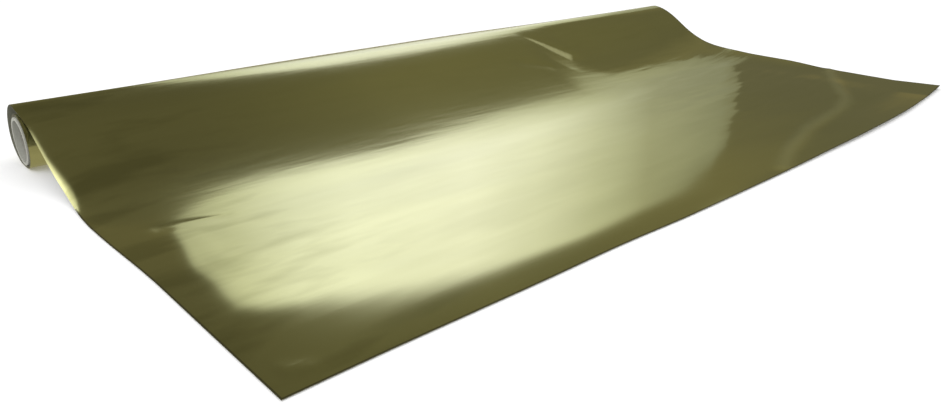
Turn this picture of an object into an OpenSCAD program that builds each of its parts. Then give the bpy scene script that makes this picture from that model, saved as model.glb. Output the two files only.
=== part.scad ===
// Roll of craft foil: a gold foil web, partly unrolled, on a narrow paperboard tube.
// X runs along the tube, the free end of the web points to -Y, and Z is up.
// The origin is on the floor, below the middle of the whole object.

/* [Web] */
// Width of the web along the tube
web_width = 500; // [100:1:1500]
// Thickness of the laminated foil
web_thickness = 0.2; // [0.15:0.01:0.25]
// Length of web that lies flat on the floor, from the free end to the lift
flat_length = 142.3; // [60:0.1:600]
// How far the cut end runs back at its right-hand corner
corner_set_back = 12; // [2:0.5:30]
// Length of the cut end over which it runs back
corner_run = 165; // [60:1:250]

/* [Tube] */
// Bore of the tube
tube_bore = 20; // [16:0.5:60]
// Wall of the tube
tube_wall = 1.5; // [1:0.1:4]

/* [Winding] */
// Number of tight turns on the tube
turn_count = 5; // [2:1:12]
// Air between one tight turn and the next
turn_gap = 0.07; // [0.05:0.01:0.15]
// Air between the tube and the first turn
tube_gap = 0.06; // [0.04:0.01:0.2]

/* [Loose turn] */
// Slope of the web where it comes down from the roll, in degrees
ramp_angle = 26.6; // [20:0.2:34]
// Air between the ramp and the wound roll that it comes down past
ramp_gap = 3.3; // [0.2:0.1:6]
// Length of the bend at the foot of the ramp, along each of its two sides
foot_bend = 36; // [10:1:50]
// Height of the crest of the loose turn above the wound roll
crest_rise = 3.4; // [2.6:0.1:5]
// Length of the bend at the crest, along the ramp
crest_bend = 14; // [3:0.5:20]
// Length of the bend at the crest, along the level
crest_level = 9.7; // [1:0.1:14]
// Air between the back of the wound roll and the loose turn
back_gap = 8.3; // [5:0.1:14]
// Height of the point where the loose turn bulges out furthest
bulge_height = 11.5; // [9:0.5:15]
// Length of the loose turn that lies on the floor behind the tube's centre line
floor_run = 7; // [4:0.5:9]

/* [Hidden] */
// Flat steps on each turn of the winding, on each bend and round the tube
turn_steps = 60;
bend_steps = 8;
tube_steps = 96;
// How far the Bezier handles reach along each quarter of the loose turn
upper_reach = 0.42;
lower_reach = 0.58;
// Reach of every cut past what it cuts
cut_margin = 1;

half_web = web_thickness / 2;
tube_outer_r = tube_bore / 2 + tube_wall;
turn_pitch = web_thickness + turn_gap;
// Middle of the web's thickness on the first and on the last tight turn
inner_r = tube_outer_r + tube_gap + half_web;
outer_r = inner_r + turn_count * turn_pitch;
// Height of the tube's axis: the wound roll sits on the loose turn's end on the floor
axis_z = half_web + outer_r;

// The ramp is a straight stretch that clears the wound roll by ramp_gap
ramp_reach = outer_r + web_thickness + ramp_gap;
ramp_dir = [cos(ramp_angle), sin(ramp_angle)];
// Places are first counted from the tube's axis line on the floor
touch = ramp_reach * [-ramp_dir[1], ramp_dir[0]] + [0, axis_z];
foot = [touch[0] - (touch[1] - half_web) / tan(ramp_angle), half_web];
crest_z = axis_z + outer_r + crest_rise;
crest_knee = [foot[0] + (crest_z - half_web) / tan(ramp_angle), crest_z];
crest = crest_knee + [crest_level, 0];
bulge = [outer_r + back_gap, bulge_height];
landing = [floor_run, half_web];
front = [foot[0] - foot_bend - flat_length, half_web];
// The axis line is set back so that the whole object is centred on the origin
axis_y = -(front[0] + bulge[0] + half_web) / 2;

// Point at a share u of a quadratic or a cubic Bezier curve
function curve2(a, b, c, u) = (1 - u) * (1 - u) * a + 2 * u * (1 - u) * b + u * u * c;
function curve3(a, b, c, d, u) =
    pow(1 - u, 3) * a + 3 * u * pow(1 - u, 2) * b + 3 * u * u * (1 - u) * c + pow(u, 3) * d;

// Line through the middle of the web's thickness, from the free end to the first turn
foot_line = [for (i = [0:bend_steps])
    curve2(foot - [foot_bend, 0], foot, foot + foot_bend * ramp_dir, i / bend_steps)];
crest_line = [for (i = [0:bend_steps])
    curve2(crest_knee - crest_bend * ramp_dir, crest_knee, crest, i / bend_steps)];
back_line = [for (i = [1:bend_steps])
    curve3(crest, crest + [upper_reach * (bulge[0] - crest[0]), 0],
        bulge + [0, upper_reach * (crest[1] - bulge[1])], bulge, i / bend_steps)];
under_line = [for (i = [1:bend_steps])
    curve3(bulge, bulge - [0, lower_reach * (bulge[1] - half_web)],
        landing + [lower_reach * (bulge[0] - landing[0]), 0], landing, i / bend_steps)];
wound_line = [for (i = [0:turn_count * turn_steps])
    let (a = 360 * i / turn_steps, r = outer_r - turn_pitch * i / turn_steps)
    [-r * sin(a), axis_z - r * cos(a)]];
web_line = concat([front], foot_line, crest_line, back_line, under_line, wound_line);

// Unit vector across the web at one point of its line
function across(line, i) =
    let (last = len(line) - 1,
         along = line[min(i + 1, last)] - line[max(i - 1, 0)])
    [-along[1], along[0]] / norm(along);

module core_tube() {
    color("tan")
        translate([0, axis_y, axis_z])
            rotate([0, 90, 0])
                difference() {
                    cylinder(h = web_width, r = tube_outer_r, center = true, $fn = tube_steps);
                    cylinder(h = web_width + 2 * cut_margin, d = tube_bore, center = true,
                        $fn = tube_steps);
                }
}

// Block that takes the web's cut end back towards its right-hand corner
module corner_trim() {
    start_x = web_width / 2 - corner_run;
    front_y = axis_y + front[0];
    edge = [for (i = [0:bend_steps])
        let (u = i / bend_steps)
        [start_x + corner_run * u, front_y + corner_set_back * u * u]];
    translate([0, 0, -cut_margin])
        linear_extrude(height = web_thickness + 2 * cut_margin)
            polygon(concat(edge, [
                [web_width / 2 + cut_margin, front_y + corner_set_back],
                [web_width / 2 + cut_margin, front_y - cut_margin],
                [start_x, front_y - cut_margin]]));
}

module foil_web() {
    last = len(web_line) - 1;
    outside = [for (i = [0:last]) web_line[i] + half_web * across(web_line, i)];
    inside = [for (i = [last:-1:0]) web_line[i] - half_web * across(web_line, i)];
    color("darkkhaki")
        difference() {
            translate([0, axis_y, 0])
                rotate([90, 0, 90])
                    linear_extrude(height = web_width, center = true)
                        polygon(concat(outside, inside));
            corner_trim();
        }
}

core_tube();
foil_web();
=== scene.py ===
import math

import bmesh
import bpy
from mathutils import Matrix, Vector, noise


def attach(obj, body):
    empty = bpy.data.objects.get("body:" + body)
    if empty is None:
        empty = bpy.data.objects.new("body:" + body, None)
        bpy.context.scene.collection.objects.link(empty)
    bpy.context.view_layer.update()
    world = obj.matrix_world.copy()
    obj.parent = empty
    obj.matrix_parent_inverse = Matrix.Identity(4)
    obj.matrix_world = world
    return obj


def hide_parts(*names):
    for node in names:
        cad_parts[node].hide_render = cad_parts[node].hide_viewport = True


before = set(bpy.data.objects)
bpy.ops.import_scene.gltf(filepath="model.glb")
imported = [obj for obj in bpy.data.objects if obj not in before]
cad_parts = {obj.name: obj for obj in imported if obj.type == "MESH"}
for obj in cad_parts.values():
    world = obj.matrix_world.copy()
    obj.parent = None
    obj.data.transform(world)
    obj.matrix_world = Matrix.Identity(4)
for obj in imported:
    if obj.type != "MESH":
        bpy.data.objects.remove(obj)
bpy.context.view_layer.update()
scene = bpy.context.scene
scene.view_settings.view_transform = "Standard"

# Camera
# It looks along the web from in front of its left-hand corner, low and from close by,
# so that the near corner is large and the far end runs away to a point.
camera_data = bpy.data.cameras.new("camera")
camera_data.lens = 29.362
camera_data.sensor_width = 36
camera_data.sensor_fit = "HORIZONTAL"
camera_data.clip_start = 0.01
camera = bpy.data.objects.new("camera", camera_data)
camera_yaw = 0.73124
camera_pitch = 0.39441
camera_roll = 0.0045
camera.matrix_world = (
    Matrix.Translation((-0.32440, -0.28893, 0.12552))
    @ Matrix.Rotation(-camera_yaw, 4, "Z")
    @ Matrix.Rotation(math.pi / 2 - camera_pitch, 4, "X")
    @ Matrix.Rotation(camera_roll, 4, "Z")
)
scene.collection.objects.link(camera)
scene.camera = camera


# Core tube
# The paperboard tube that the foil is wound on, spiral-wound from grey-white board.
# Its shape is the CAD's: only its surface is finished here, with the seams of the
# outer ply, the fibres of the board and the paler cut ends.
tube_axis_y = 0.10987
tube_axis_z = 0.01311
tube_outer_radius = 0.0115
tube_half_length = 0.25


def new_material(name):
    """A new material with its node tree and its shader."""
    made = bpy.data.materials.new(name)
    made.use_nodes = True
    shader = made.node_tree.nodes["Principled BSDF"]
    return made, made.node_tree, shader


def add_node(tree, kind, **settings):
    node = tree.nodes.new(kind)
    for key, value in settings.items():
        setattr(node, key, value)
    return node


def plug(tree, value, socket):
    """Gives a socket a fixed value, or links it to another node's output."""
    if isinstance(value, bpy.types.NodeSocket):
        tree.links.new(value, socket)
    else:
        socket.default_value = value


def calculate(tree, operation, *values):
    node = add_node(tree, "ShaderNodeMath", operation=operation)
    for socket, value in zip(node.inputs, values):
        plug(tree, value, socket)
    return node.outputs[0]


def split_axes(tree, place):
    """The x, y and z of a place, each as an output."""
    node = add_node(tree, "ShaderNodeSeparateXYZ")
    plug(tree, place, node.inputs[0])
    return node.outputs


def mix_colours(tree, factor, first, second, blend="MIX"):
    node = add_node(tree, "ShaderNodeMix", data_type="RGBA", blend_type=blend)
    for name, value in (("Factor", factor), ("A", first), ("B", second)):
        plug(tree, value, node.inputs[name])
    return node.outputs["Result"]


def add_noise(tree, place, scale, detail=2):
    node = add_node(tree, "ShaderNodeTexNoise")
    plug(tree, place, node.inputs["Vector"])
    plug(tree, scale, node.inputs["Scale"])
    plug(tree, detail, node.inputs["Detail"])
    return node.outputs["Fac"]


def colour_ramp(tree, factor, stops):
    """A colour that runs through the stops, each a place from 0 to 1 and its colour."""
    node = add_node(tree, "ShaderNodeValToRGB")
    elements = node.color_ramp.elements
    for index, (place, colour) in enumerate(stops):
        element = elements[index] if index < 2 else elements.new(place)
        element.position = place
        element.color = (*colour, 1)
    tree.links.new(factor, node.inputs["Fac"])
    return node.outputs["Color"]


def add_bump(tree, shader, height, strength, distance):
    bump = add_node(tree, "ShaderNodeBump")
    bump.inputs["Strength"].default_value = strength
    bump.inputs["Distance"].default_value = distance
    tree.links.new(height, bump.inputs["Height"])
    tree.links.new(bump.outputs["Normal"], shader.inputs["Normal"])


def link_object(name, shape):
    """Turns a finished shape into an object of the scene."""
    mesh = bpy.data.meshes.new(name)
    shape.to_mesh(mesh)
    shape.free()
    made = bpy.data.objects.new(name, mesh)
    scene.collection.objects.link(made)
    return made


paperboard, tree, shader = new_material("paperboard")
place = add_node(tree, "ShaderNodeTexCoord").outputs["Object"]
axes = split_axes(tree, place)
from_axis_y = calculate(tree, "SUBTRACT", axes["Y"], tube_axis_y)
from_axis_z = calculate(tree, "SUBTRACT", axes["Z"], tube_axis_z)
turn = calculate(tree, "DIVIDE", calculate(tree, "ARCTAN2", from_axis_z, from_axis_y), math.tau)
ply_width = 0.046
seam_share = 0.016
ply = calculate(tree, "FRACT", calculate(
    tree, "ADD", calculate(tree, "DIVIDE", axes["X"], ply_width), turn))
seam = calculate(tree, "LESS_THAN", ply, seam_share)
fibre = add_noise(tree, place, 900, 4)
board_colour = colour_ramp(tree, fibre, [
    (0.3, (0.33, 0.325, 0.28)), (0.7, (0.43, 0.42, 0.37))])
seam_colour = mix_colours(tree, calculate(tree, "MULTIPLY", seam, 0.45), board_colour,
                          (0.30, 0.29, 0.25, 1))
end_depth = 0.0002
cut_end = calculate(tree, "GREATER_THAN", calculate(tree, "ABSOLUTE", axes["X"]),
                    tube_half_length - end_depth)
plug(tree, mix_colours(tree, cut_end, seam_colour, (0.42, 0.42, 0.37, 1)),
     shader.inputs["Base Color"])
shader.inputs["Roughness"].default_value = 0.8
add_bump(tree, shader, calculate(tree, "SUBTRACT", fibre, seam), 0.4, 0.0002)
core_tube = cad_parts["core_tube"]
core_tube.data.materials.clear()
core_tube.data.materials.append(paperboard)

# The tube's left end, which stands a little way out of the roll
bore_radius = 0.010
stands_out = 0.0024
ring_steps = 64
tube_end = bmesh.new()
ring = []
for radius, x in ((bore_radius, 0), (bore_radius, stands_out), (tube_outer_radius, stands_out),
                  (tube_outer_radius, 0)):
    ring.append([tube_end.verts.new((
        -tube_half_length - x,
        tube_axis_y + radius * math.cos(math.tau * step / ring_steps),
        tube_axis_z + radius * math.sin(math.tau * step / ring_steps)))
        for step in range(ring_steps)])
for inner, outer in zip(ring, ring[1:]):
    for step in range(ring_steps):
        following = (step + 1) % ring_steps
        tube_end.faces.new((inner[step], outer[step], outer[following], inner[following]))
bmesh.ops.recalc_face_normals(tube_end, faces=tube_end.faces)
end_ring = link_object("core_tube_end", tube_end)
end_ring.data.materials.append(paperboard)
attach(end_ring, "root")


# Foil web
# Metallised gold film on a thin paper back, in one length: the free end lies flat, the
# rest rises over the roll in a loose turn and runs under it into five tight turns.
# It is one sheet carried along its own line, with the creases of a sheet just unrolled.
web_width = 0.5
web_thickness = 0.0002
half_thickness = web_thickness / 2
front_y = -0.13128
corner_set_back = 0.0118
corner_run = 0.165
wound_radius = 0.01301
wound_pitch = 0.00027
turn_count = 5
crest_y = 0.1155
crest_z = 0.02952
landing_y = 0.116871
bulge_station = (0.13118, 0.0115, -90)
landing_station = (landing_y, half_thickness, -180)


def smooth_step(value, low, high):
    share = min(max((value - low) / (high - low), 0), 1)
    return share * share * (3 - 2 * share)


def blended(low, high, share):
    return low + (high - low) * share


def bezier(points, share):
    """Point at a share of the Bezier curve with these control points."""
    while len(points) > 1:
        points = [
            (blended(a[0], b[0], share), blended(a[1], b[1], share))
            for a, b in zip(points, points[1:])
        ]
    return points[0]


def cut_edge(x):
    """Where the free end of the web is cut, which runs back towards the right corner."""
    along = max((x - (web_width / 2 - corner_run)) / corner_run, 0)
    ragged = 0.0003 + 0.0004 * noise.noise(Vector((x / 0.06, 3.1, 0)))
    forward = 0.0012 * smooth_step(x, -0.12, -0.06) * blended(1, 0.5, smooth_step(x, 0.02, 0.10))
    forward *= 1 - smooth_step(x, 0.17, 0.24)
    return front_y + corner_set_back * along * along + ragged - forward


def breadth(x):
    """How broadly the crest of the loose turn arches: tight at its ends and broad between."""
    return smooth_step(x, -0.215, -0.08) * blended(1, 0.1, smooth_step(x, 0.0, 0.13))


# Places along the web at its edges, each as y, z and the web's slope there in degrees
edge_stations = [
    (0.02772, half_thickness, 0),
    (0.0770, 0.01174, 26.6),
    (0.1071, 0.02683, 26.6),
    (crest_y, crest_z, 0),
    (0.1175, crest_z - 0.0003, -17),
    bulge_station,
    landing_station,
]


def inner_stations(x):
    """The same places at x, away from the edges: the web lifts in one long bend there,
    nearer to its free end, and comes over in a shorter one."""
    broad = breadth(x)
    right = smooth_step(x, 0.055, 0.105)
    lift = -0.012 + 0.011 * smooth_step(x, -0.10, 0.05) + 0.014 * right
    top = crest_z - 0.0008 * smooth_step(x, 0, 0.2)
    run = crest_y - lift
    rise = top - half_thickness
    slope = 2 * math.atan2(rise, run)
    crest_radius = blended(0.018, 0.29 * run / math.sin(slope), broad)
    near_crest = 0.30 * slope
    return [
        (lift, half_thickness, 0),
        (lift + 0.70 * run, half_thickness + blended(0.56, 0.70, broad) * rise,
         math.degrees(slope) * blended(0.92, 1, broad)),
        (crest_y - crest_radius * math.sin(near_crest),
         top - crest_radius * (1 - math.cos(near_crest)), math.degrees(near_crest)),
        (crest_y, top, 0),
        (blended(0.1175, 0.1235, broad), top - blended(0.0003, 0.0009, broad),
         blended(-17, -13, broad)),
        bulge_station,
        landing_station,
    ]


def bend_between(start, end, share):
    """Place at a share of the smooth bend from one station of the web to the next."""
    reach = math.dist(start[:2], end[:2]) * 0.35
    first, last = math.radians(start[2]), math.radians(end[2])
    return bezier([
        start[:2],
        (start[0] + reach * math.cos(first), start[1] + reach * math.sin(first)),
        (end[0] - reach * math.cos(last), end[1] - reach * math.sin(last)),
        end[:2],
    ], share)


flat_rows = 44
bend_rows = [48, 28, 12, 5, 16, 10]
loose_rows = flat_rows + sum(bend_rows)


def line_through(stations, start):
    """Places along the web, from where it is cut and on through its stations."""
    line = [(blended(start, stations[0][0], i / flat_rows), half_thickness)
            for i in range(flat_rows)]
    for before, after, rows in zip(stations, stations[1:], bend_rows):
        line += [bend_between(before, after, i / rows) for i in range(rows)]
    line.append(stations[-1][:2])
    return line


def web_line(x):
    """Places along the web at x, from its cut end to under the tube.
    Towards the left it sinks to its edge line, gently at first and then in a sharp curl."""
    start = cut_edge(x)
    from_left = x + web_width / 2
    line = []
    for inner, edge in zip(line_through(inner_stations(x), start),
                           line_through(edge_stations, start)):
        drawn = 0.65 * math.exp(-from_left / 0.030) + 0.35 * math.exp(-from_left / 0.0022)
        line.append((blended(inner[0], edge[0], drawn), blended(inner[1], edge[1], drawn)))
    return line


def from_crease(x, y, line):
    """Distance from a place to the nearest point of a crease, a line of places."""
    nearest = 1
    for start, end in zip(line, line[1:]):
        run = (end[0] - start[0], end[1] - start[1])
        length = run[0] ** 2 + run[1] ** 2
        share = min(max(((x - start[0]) * run[0] + (y - start[1]) * run[1]) / length, 0), 1)
        gap = math.hypot(x - start[0] - share * run[0], y - start[1] - share * run[1])
        nearest = min(nearest, gap)
    return nearest


def ridge(x, y, line, width):
    """Height of a soft ridge along a crease, 1 on its line."""
    return math.exp(-(from_crease(x, y, line) / width) ** 2)


# Creases as lines of places on the web: along the front edge, on the ramp and at the left
corner_ripple = [(0.020, -0.1286), (0.050, -0.1165), (0.095, -0.1045), (0.147, -0.0985),
                 (0.1725, -0.0911), (0.207, -0.0682), (0.234, -0.0520), (0.250, -0.0440)]
front_fold = [(-0.060, -0.1300), (0.020, -0.1260), (0.066, -0.1160), (0.116, -0.1070),
              (0.150, -0.1050), (0.188, -0.1040), (0.219, -0.1035), (0.250, -0.0880)]
pleat_top = (0.0690, 0.0980)
pleat_foot = (0.0920, 0.0725)
ramp_pleat = [(0.042, 0.0723), (0.062, 0.0646)]
# The ends of a wedge of painted highlight along the fold of the pleat
highlight_wedge_top = (0.0700, 0.0965)
highlight_wedge_foot = (0.0950, 0.0730)
left_streak = [(-0.231, -0.0020), (-0.220, -0.0027), (-0.208, -0.0064)]
corner_dent = [(-0.2425, -0.1195), (-0.2360, -0.1235)]


def fold_line_y(x):
    """Where the strip along the front edge starts to stand up."""
    for start, end in zip(front_fold, front_fold[1:]):
        if x <= end[0]:
            return blended(start[1], end[1], (x - start[0]) / (end[0] - start[0]))
    return front_fold[-1][1]


def along_line(x, y, top, foot):
    """A line's length, and how far a place is down the line and beside it."""
    run = (foot[0] - top[0], foot[1] - top[1])
    length = math.hypot(*run)
    down = ((x - top[0]) * run[0] + (y - top[1]) * run[1]) / length
    beside = ((y - top[1]) * run[0] - (x - top[0]) * run[1]) / length
    return length, down, beside


def pleat_depth(x, y):
    """Depth of the pleat on the ramp: a flat face that widens downwards, and a slow return."""
    length, down, beside = along_line(x, y, pleat_top, pleat_foot)
    share = min(max(down / length, 0), 1)
    face = blended(0.0080, 0.0190, share)
    depth = blended(0.03, 0.05, share) * min(max(beside + face, 0), face)
    depth *= 1 - smooth_step(beside, 0, 0.014)
    return depth * smooth_step(down, -0.012, 0.006) * (1 - smooth_step(down, length, length + 0.012))


def painted_highlight(x, y):
    """How much painted highlight the gold takes at a place, as a share by which it is made less
    metallic so that it shows as pale lit gold: along the corner's ripple, and in a wedge along the
    fold of the pleat."""
    if x > 0 and y < -0.03:
        return 0.2 * ridge(x, y, corner_ripple, 0.0035)
    length, down, beside = along_line(x, y, highlight_wedge_top, highlight_wedge_foot)
    share = down / length
    if not -0.1 < share < 1.1:
        return 0
    width = blended(0.0014, 0.0058, share)
    ends = smooth_step(share, -0.05, 0.15) * (1 - smooth_step(share, 0.95, 1.05))
    return ends * (1 - smooth_step(abs(beside), width * 0.4, width))


def crease_height(x, y):
    """How far the web stands off its smooth line at a place, along its own normal."""
    right_end = smooth_step(x, 0.07, 0.19)
    height = blended(0.00006, 0.0002, right_end) * noise.noise(Vector((x / 0.110, y / 0.032, 1.7)))
    if x < -0.17 and abs(y) < 0.03:
        height -= 0.00025 * ridge(x, y, left_streak, 0.0026)
    if x < -0.22 and y < -0.10:
        height += 0.00016 * ridge(x, y, corner_dent, 0.0022)
    if x > 0 and y < 0:
        height += 0.0004 * ridge(x, y, corner_ripple, 0.0030)
    if x > front_fold[0][0] and y < -0.07:
        past_fold = max(fold_line_y(x) - y, 0)
        height += 0.065 * past_fold ** 2 / (past_fold + 0.003)
    if 0.02 < x < 0.12 and 0.04 < y < 0.12:
        height -= pleat_depth(x, y) + 0.0004 * ridge(x, y, ramp_pleat, 0.004)
    return height


def left_overhang(x, y):
    """How far the left edge stands out: a little where the web lifts, and more at the roll."""
    near_edge = max(1 - (x + web_width / 2) / 0.12, 0) ** 2
    at_lift = smooth_step(y, -0.05, 0.018) * (1 - smooth_step(y, 0.018, 0.060))
    at_roll = smooth_step(y, 0.095, 0.115)
    return near_edge * (0.0019 * at_lift + 0.0018 * at_roll)


def right_edge_lift(x, y):
    """How far the right edge stands off its line: up before the ramp, and down on it."""
    near_edge = math.exp((x - web_width / 2) / 0.020)
    before = smooth_step(y, -0.045, -0.008) * (1 - smooth_step(y, 0.028, 0.055))
    on_ramp = smooth_step(y, 0.045, 0.066) * (1 - smooth_step(y, 0.070, 0.098))
    return near_edge * (0.0017 * before - 0.0012 * on_ramp)


# Columns stand closest at the left edge, where the web curls, and close at the pleat
column_runs = [(0.0005, 3), (0.0010, 7), (0.0020, 6), (0.0034, 80), (0.0011, 44), (0.0024, 60)]
column_places = [0]
for spacing, count in column_runs:
    column_places += [column_places[-1] + spacing * (i + 1) for i in range(count)]
column_places = [place * web_width / column_places[-1] for place in column_places]
loose_columns = len(column_places) - 1
# The last rows, past the crest, have no creases
smooth_rows = 30

web_shape = bmesh.new()
bmesh.ops.create_grid(web_shape, x_segments=loose_columns, y_segments=loose_rows, size=0.5)
web_shape.verts.ensure_lookup_table()
flat_place = web_shape.verts.layers.float_vector.new("flat_place")
painted_highlight_share = web_shape.verts.layers.float.new("painted_highlight_share")
columns = {}
for vert in web_shape.verts:
    across = round((vert.co.x + 0.5) * loose_columns)
    along = round((vert.co.y + 0.5) * loose_rows)
    columns.setdefault(across, {})[along] = vert
for across, column in columns.items():
    x = column_places[across] - web_width / 2
    line = web_line(x)
    length = 0
    for along, (y, z) in enumerate(line):
        before = line[max(along - 1, 0)]
        after = line[min(along + 1, loose_rows)]
        if along:
            length += math.dist(line[along - 1], line[along])
        run = Vector((0, after[0] - before[0], after[1] - before[1])).normalized()
        outwards = Vector((0, -run.z, run.y))
        vert = column[along]
        vert.co = Vector((x - left_overhang(x, y), y, z + right_edge_lift(x, y)))
        if along < loose_rows - smooth_rows:
            vert.co += outwards * crease_height(x, y)
            # Painted highlight: the share by which the gold is made less metallic here
            vert[painted_highlight_share] = painted_highlight(x, y)
        vert[flat_place] = (x, length, 0)
loose_length = length

# The tight turns on the tube, joined to the loose turn on the floor below the axis
wound_columns = 20
turn_rows = 40
floor_run = 0.007
wound_rows = turn_rows * turn_count
wound_grid = bmesh.ops.create_grid(
    web_shape, x_segments=wound_columns, y_segments=wound_rows, size=0.5)
wound_length = 0
for vert in wound_grid["verts"]:
    x = web_width * vert.co.x
    along = round((vert.co.y + 0.5) * wound_rows)
    turned = along / turn_rows
    radius = wound_radius - wound_pitch * turned
    angle = math.tau * turned
    vert.co = Vector((x - left_overhang(x, tube_axis_y + 0.01),
                      tube_axis_y - radius * math.sin(angle),
                      tube_axis_z - radius * math.cos(angle)))
    wound_run = math.tau * turned * (wound_radius - wound_pitch * turned / 2)
    vert[flat_place] = (x, loose_length + floor_run + wound_run, 0)
    wound_length = max(wound_length, wound_run)


def end_edges(y):
    """The web's loose edges on the floor at y."""
    return [edge for edge in web_shape.edges if len(edge.link_faces) == 1
            and all(abs(v.co.y - y) < 1e-5 and v.co.z < 0.001 for v in edge.verts)]


bmesh.ops.bridge_loops(web_shape, edges=end_edges(landing_y) + end_edges(tube_axis_y))
for face in web_shape.faces:
    face.smooth = True
# The cut edges stay sharp
for edge in web_shape.edges:
    edge.smooth = len(edge.link_faces) > 1
web_unrolled = web_shape.loops.layers.uv.new("web")
for face in web_shape.faces:
    for loop in face.loops:
        loop[web_unrolled].uv = loop.vert[flat_place].xy

foil_sheet = link_object("foil_web_sheet", web_shape)
thicken = foil_sheet.modifiers.new("paper back", "SOLIDIFY")
thicken.thickness = web_thickness
thicken.offset = 0
thicken.material_offset = 1
thicken.material_offset_rim = 2

gold_foil, tree, shader = new_material("gold_foil")
web_place = add_node(tree, "ShaderNodeUVMap", uv_map="web").outputs["UV"]
from_middle, from_cut, _ = split_axes(tree, web_place)


def drawn_noise(tree, place, across, along, detail):
    """Noise drawn out across the web: so many features in a metre across and along it."""
    stretch = add_node(tree, "ShaderNodeMapping")
    stretch.inputs["Scale"].default_value = (across, along, 1)
    plug(tree, place, stretch.inputs["Vector"])
    return add_noise(tree, stretch.outputs["Vector"], 1, detail)


def ranged(tree, value, start, end, low, high):
    """A value that goes smoothly from low to high between two places."""
    span = add_node(tree, "ShaderNodeMapRange", interpolation_type="SMOOTHSTEP")
    for name, given in (("Value", value), ("From Min", start), ("From Max", end),
                        ("To Min", low), ("To Max", high)):
        plug(tree, given, span.inputs[name])
    return span.outputs["Result"]


# Long waves all over, streaks towards the right-hand end and fine ones where the web lifts
end_height = calculate(tree, "MULTIPLY", ranged(tree, from_middle, 0.0, 0.15, 0.000006, 0.0005),
                       ranged(tree, from_middle, 0.200, 0.228, 1, 0.06))
end_height = calculate(tree, "MULTIPLY", end_height, ranged(tree, from_cut, 0.015, 0.045, 0.3, 1))
lift_height = calculate(tree, "MULTIPLY", ranged(tree, from_cut, 0.110, 0.165, 0.03, 1),
                        ranged(tree, from_middle, -0.245, -0.215, 0.2, 1))
lift_height = calculate(tree, "MULTIPLY", lift_height, 0.00009)
fine_tone = drawn_noise(tree, web_place, 24, 190, 3)
waves = calculate(tree, "MULTIPLY", drawn_noise(tree, web_place, 12, 34, 0), 0.00018)
for tone, height in ((drawn_noise(tree, web_place, 13, 46, 2), end_height),
                     (fine_tone, lift_height)):
    waves = calculate(tree, "ADD", waves, calculate(tree, "MULTIPLY", tone, height))
add_bump(tree, shader, waves, 1, 1)
# Painted highlight: the foil is less metallic along the pleat's fold and the corner's ripple, so it
# shows pale lit gold there
painted_highlight_mask = add_node(tree, "ShaderNodeAttribute", attribute_name="painted_highlight_share").outputs["Fac"]
plug(tree, calculate(tree, "SUBTRACT", 1, calculate(tree, "MULTIPLY", painted_highlight_mask, 0.26)),
     shader.inputs["Metallic"])
gold_tone = colour_ramp(tree, fine_tone, [
    (0.3, (0.83, 0.82, 0.42)), (0.7, (0.85, 0.84, 0.44))])
# Soft darker patches in the gold, strongest near the left end and faint over the rest of the web
left_patch_tone = colour_ramp(tree, drawn_noise(tree, web_place, 15, 50, 3), [
    (0.36, (0.80, 0.80, 0.76)), (0.50, (1, 1, 1))])
gold_tone = mix_colours(tree, ranged(tree, from_middle, -0.215, -0.14, 1, 0.1), gold_tone,
                        left_patch_tone, "MULTIPLY")
# The film is sheared dark where it is cut, down to where the left edge meets the roll
side_cut = web_width / 2 - 0.0006
front_cut = 0.0007
left_cut_length = 0.17
left_cut = calculate(tree, "MULTIPLY", calculate(tree, "LESS_THAN", from_middle, -side_cut),
                     calculate(tree, "LESS_THAN", from_cut, left_cut_length))
sheared = calculate(tree, "MAXIMUM", calculate(tree, "GREATER_THAN", from_middle, side_cut),
                    calculate(tree, "LESS_THAN", from_cut, front_cut))
sheared = calculate(tree, "MAXIMUM", sheared, left_cut)
plug(tree, mix_colours(tree, sheared, gold_tone, (0.40, 0.40, 0.24, 1)),
     shader.inputs["Base Color"])
drawn_dull = calculate(tree, "MULTIPLY", ranged(tree, from_cut, 0.110, 0.165, 0, 0.13),
                       ranged(tree, from_middle, 0.03, 0.15, 1, 0.15))
plug(tree, calculate(tree, "ADD", drawn_dull, 0.07), shader.inputs["Roughness"])

paper_back, tree, shader = new_material("paper_back")
web_place = add_node(tree, "ShaderNodeUVMap", uv_map="web").outputs["UV"]
back_grain = add_noise(tree, web_place, 700, 4)
plug(tree, colour_ramp(tree, back_grain, [
    (0.3, (0.19, 0.19, 0.15)), (0.7, (0.25, 0.25, 0.20))]), shader.inputs["Base Color"])
shader.inputs["Roughness"].default_value = 0.55
add_bump(tree, shader, back_grain, 0.3, 0.0001)

cut_rim, tree, shader = new_material("cut_rim")
web_place = add_node(tree, "ShaderNodeUVMap", uv_map="web").outputs["UV"]
plug(tree, colour_ramp(tree, add_noise(tree, web_place, 400), [
    (0.3, (0.10, 0.095, 0.06)), (0.7, (0.20, 0.19, 0.13))]), shader.inputs["Base Color"])
shader.inputs["Roughness"].default_value = 0.5

for material in (gold_foil, paper_back, cut_rim):
    foil_sheet.data.materials.append(material)
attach(foil_sheet, "root")
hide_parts("foil_web")


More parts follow.
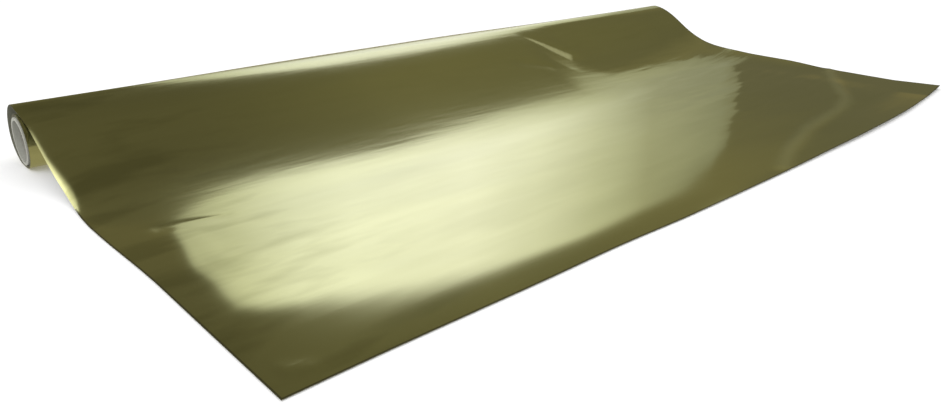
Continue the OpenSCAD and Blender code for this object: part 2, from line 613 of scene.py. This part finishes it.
# Floor
# A plain white floor, white to the camera and in the foil, with the object's soft shadow.
floor_z = -0.0004
floor_shape = bmesh.new()
bmesh.ops.create_grid(floor_shape, x_segments=1, y_segments=1, size=3)
bmesh.ops.translate(floor_shape, verts=floor_shape.verts, vec=(0, 0, floor_z))
floor = link_object("floor", floor_shape)
floor_white, tree, shader = new_material("floor_white")
shader.inputs["Base Color"].default_value = (0.9, 0.9, 0.9, 1)
shader.inputs["Roughness"].default_value = 1
shader.inputs["Specular IOR Level"].default_value = 0
rays = add_node(tree, "ShaderNodeLightPath").outputs
seen = calculate(tree, "MAXIMUM", rays["Is Camera Ray"], rays["Is Glossy Ray"])
seen = calculate(tree, "MAXIMUM", seen, rays["Is Transmission Ray"])
shader.inputs["Emission Color"].default_value = (1, 1, 1, 1)
plug(tree, calculate(tree, "MULTIPLY", seen, 0.12), shader.inputs["Emission Strength"])
floor.data.materials.append(floor_white)


# Studio
# White all round for the camera, and a dim tent that only shows in the foil, with one
# large window of light behind the roll, brightest at its left and fading to its right.
world = bpy.data.worlds.new("studio")
scene.world = world
world.use_nodes = True
sky = world.node_tree.nodes["Background"]
sky.inputs["Color"].default_value = (1, 1, 1, 1)
sky.inputs["Strength"].default_value = 1


def glow_only(obj):
    """Keeps a studio piece out of sight and out of the light: it shows in the foil alone."""
    obj.visible_camera = False
    obj.visible_diffuse = False
    obj.visible_shadow = False
    obj.visible_transmission = False


def glow_material(name):
    """A material that only gives light: its tree, with the emission that is to be set."""
    made, tree, shader = new_material(name)
    tree.nodes.remove(shader)
    emission = add_node(tree, "ShaderNodeEmission")
    tree.links.new(emission.outputs[0], tree.nodes["Material Output"].inputs["Surface"])
    return made, tree, emission


# The tent, whose tone changes from side to side, with height and towards the back
tent_radius = 4
tent_shape = bmesh.new()
bmesh.ops.create_uvsphere(tent_shape, u_segments=48, v_segments=24, radius=tent_radius)
tent = link_object("tent", tent_shape)
tent_dim, tree, dim_glow = glow_material("tent_dim")
place = add_node(tree, "ShaderNodeTexCoord").outputs["Object"]
across, depth, height = (
    calculate(tree, "DIVIDE", axis, tent_radius) for axis in split_axes(tree, place))
by_side = colour_ramp(tree, across, [
    (0.25, (0.095, 0.088, 0.055)), (0.35, (0.118, 0.110, 0.067)), (0.50, (0.153, 0.143, 0.086)),
    (0.59, (0.178, 0.166, 0.098)), (0.75, (0.172, 0.161, 0.097)), (0.90, (0.148, 0.140, 0.090))])
by_height = colour_ramp(tree, height, [
    (0.25, (0.85, 0.85, 0.85)), (0.34, (1.08, 1.05, 0.95)), (0.47, (0.78, 0.78, 0.78)),
    (0.62, (0.83, 0.83, 0.83)), (0.75, (0.88, 0.88, 0.88)), (0.97, (1.06, 1.06, 1.06))])
by_depth = colour_ramp(tree, depth, [
    (0.66, (1, 1, 1)), (0.74, (1.18, 1.18, 1.18)), (0.84, (1.36, 1.36, 1.36))])
ceiling = by_side
for shade in (by_height, by_depth):
    ceiling = mix_colours(tree, 1, ceiling, shade, "MULTIPLY")
low_band = ranged(tree, height, 0.150, 0.195, 1, 0)
plug(tree, mix_colours(tree, low_band, ceiling, (0.20, 0.172, 0.088, 1)),
     dim_glow.inputs["Color"])
tent.data.materials.append(tent_dim)
glow_only(tent)


window_distance = 1.2


def light_window(name, foot, outline, stops, turned=0, fading=0.06):
    """A lit upright sheet with a curved, softly fading top, its colours from left to right.
    It stands away from the middle of the web and is turned about it."""
    columns = 60
    rows = 12
    shape = bmesh.new()
    bmesh.ops.create_grid(shape, x_segments=columns, y_segments=rows, size=0.5)
    spread = shape.loops.layers.uv.new("spread")
    left = outline[0][0]
    right = outline[-1][0]
    for face in shape.faces:
        for loop in face.loops:
            loop[spread].uv = (loop.vert.co.x + 0.5, loop.vert.co.y + 0.5)
    for vert in shape.verts:
        x = blended(left, right, vert.co.x + 0.5)
        for start, end in zip(outline, outline[1:]):
            if x <= end[0]:
                top = blended(start[1], end[1], (x - start[0]) / (end[0] - start[0]))
                break
        vert.co = Vector((x, window_distance, blended(foot, top, vert.co.y + 0.5)))
    bmesh.ops.rotate(shape, verts=shape.verts, cent=(0, 0, 0),
                     matrix=Matrix.Rotation(math.radians(turned), 3, "Z"))
    window = link_object(name, shape)
    glow, tree, emission = glow_material(name)
    place = add_node(tree, "ShaderNodeUVMap", uv_map="spread").outputs["UV"]
    across, up, _ = split_axes(tree, place)
    cloud = drawn_noise(tree, place, 3, 9, 2)
    plug(tree, colour_ramp(tree, across, stops), emission.inputs["Color"])
    plug(tree, colour_ramp(tree, cloud, [
        (0.35, (0.86, 0.86, 0.86)), (0.62, (1.02, 1.02, 1.02))]), emission.inputs["Strength"])
    clear = add_node(tree, "ShaderNodeBsdfTransparent")
    mix = add_node(tree, "ShaderNodeMixShader")
    plug(tree, ranged(tree, up, 1 - fading, 1, 1, 0), mix.inputs["Fac"])
    plug(tree, clear.outputs[0], mix.inputs[1])
    plug(tree, emission.outputs[0], mix.inputs[2])
    plug(tree, mix.outputs[0], tree.nodes["Material Output"].inputs["Surface"])
    window.data.materials.append(glow)
    glow_only(window)


light_window(
    "back_window", 0.28,
    [(0.18, 0.54), (0.205, 0.62), (0.24, 0.69), (0.29, 0.76), (0.37, 0.82), (0.47, 0.86),
     (0.60, 0.89), (0.82, 0.925), (1.13, 0.965), (1.50, 0.985), (1.80, 0.975), (2.10, 0.955),
     (2.27, 0.92), (2.35, 0.85), (2.38, 0.70)],
    [(0.0, (0.48, 0.49, 0.43)), (0.06, (0.68, 0.70, 0.66)), (0.13, (0.92, 0.95, 1.02)),
     (0.20, (1.04, 1.07, 1.20)), (0.37, (1.05, 1.07, 1.21)), (0.50, (0.90, 0.92, 0.95)),
     (0.62, (0.64, 0.655, 0.60)), (0.75, (0.40, 0.405, 0.33)), (0.95, (0.29, 0.295, 0.23)),
     (1.0, (0.22, 0.215, 0.15))])
light_window(
    "left_window", 0.10,
    [(-0.60, 1.30), (-0.50, 1.60), (0, 1.75), (0.50, 1.60), (0.60, 1.30)],
    [(0, (1.1, 1.1, 1.0)), (0.5, (1.6, 1.6, 1.5)), (1, (1.1, 1.1, 1.0))], 45, 0.8)
light_window(
    "far_window", 0.10,
    [(-0.70, 0.40), (-0.60, 0.50), (0, 0.55), (0.60, 0.50), (0.70, 0.40)],
    [(0, (0.5, 0.5, 0.42)), (0.4, (1.1, 1.1, 1.1)), (1, (0.4, 0.4, 0.32))], -135)

# A card on the floor at the roll's left end, which gives the front of the roll its olive tone
card_size = 0.6
card_middle = (-0.45, 0.02, -0.0002)
card_shape = bmesh.new()
bmesh.ops.create_grid(card_shape, x_segments=1, y_segments=1, size=card_size / 2)
bmesh.ops.translate(card_shape, verts=card_shape.verts, vec=card_middle)
card = link_object("grey_card", card_shape)
card_grey, tree, card_glow = glow_material("card_grey")
card_glow.inputs["Color"].default_value = (0.30, 0.28, 0.20, 1)
card.data.materials.append(card_grey)
glow_only(card)

# A large soft lamp, which lights the paperboard and isn't seen in the foil
lamp_place = Vector((-1.2, -0.6, 1.4))
studio_lamp = bpy.data.lights.new("key", "AREA")
studio_lamp.size = 1.5
studio_lamp.energy = 8
studio_key = bpy.data.objects.new("key", studio_lamp)
studio_key.matrix_world = (
    Matrix.Translation(lamp_place)
    @ lamp_place.to_track_quat("Z", "Y").to_matrix().to_4x4()
)
studio_key.visible_glossy = False
scene.collection.objects.link(studio_key)
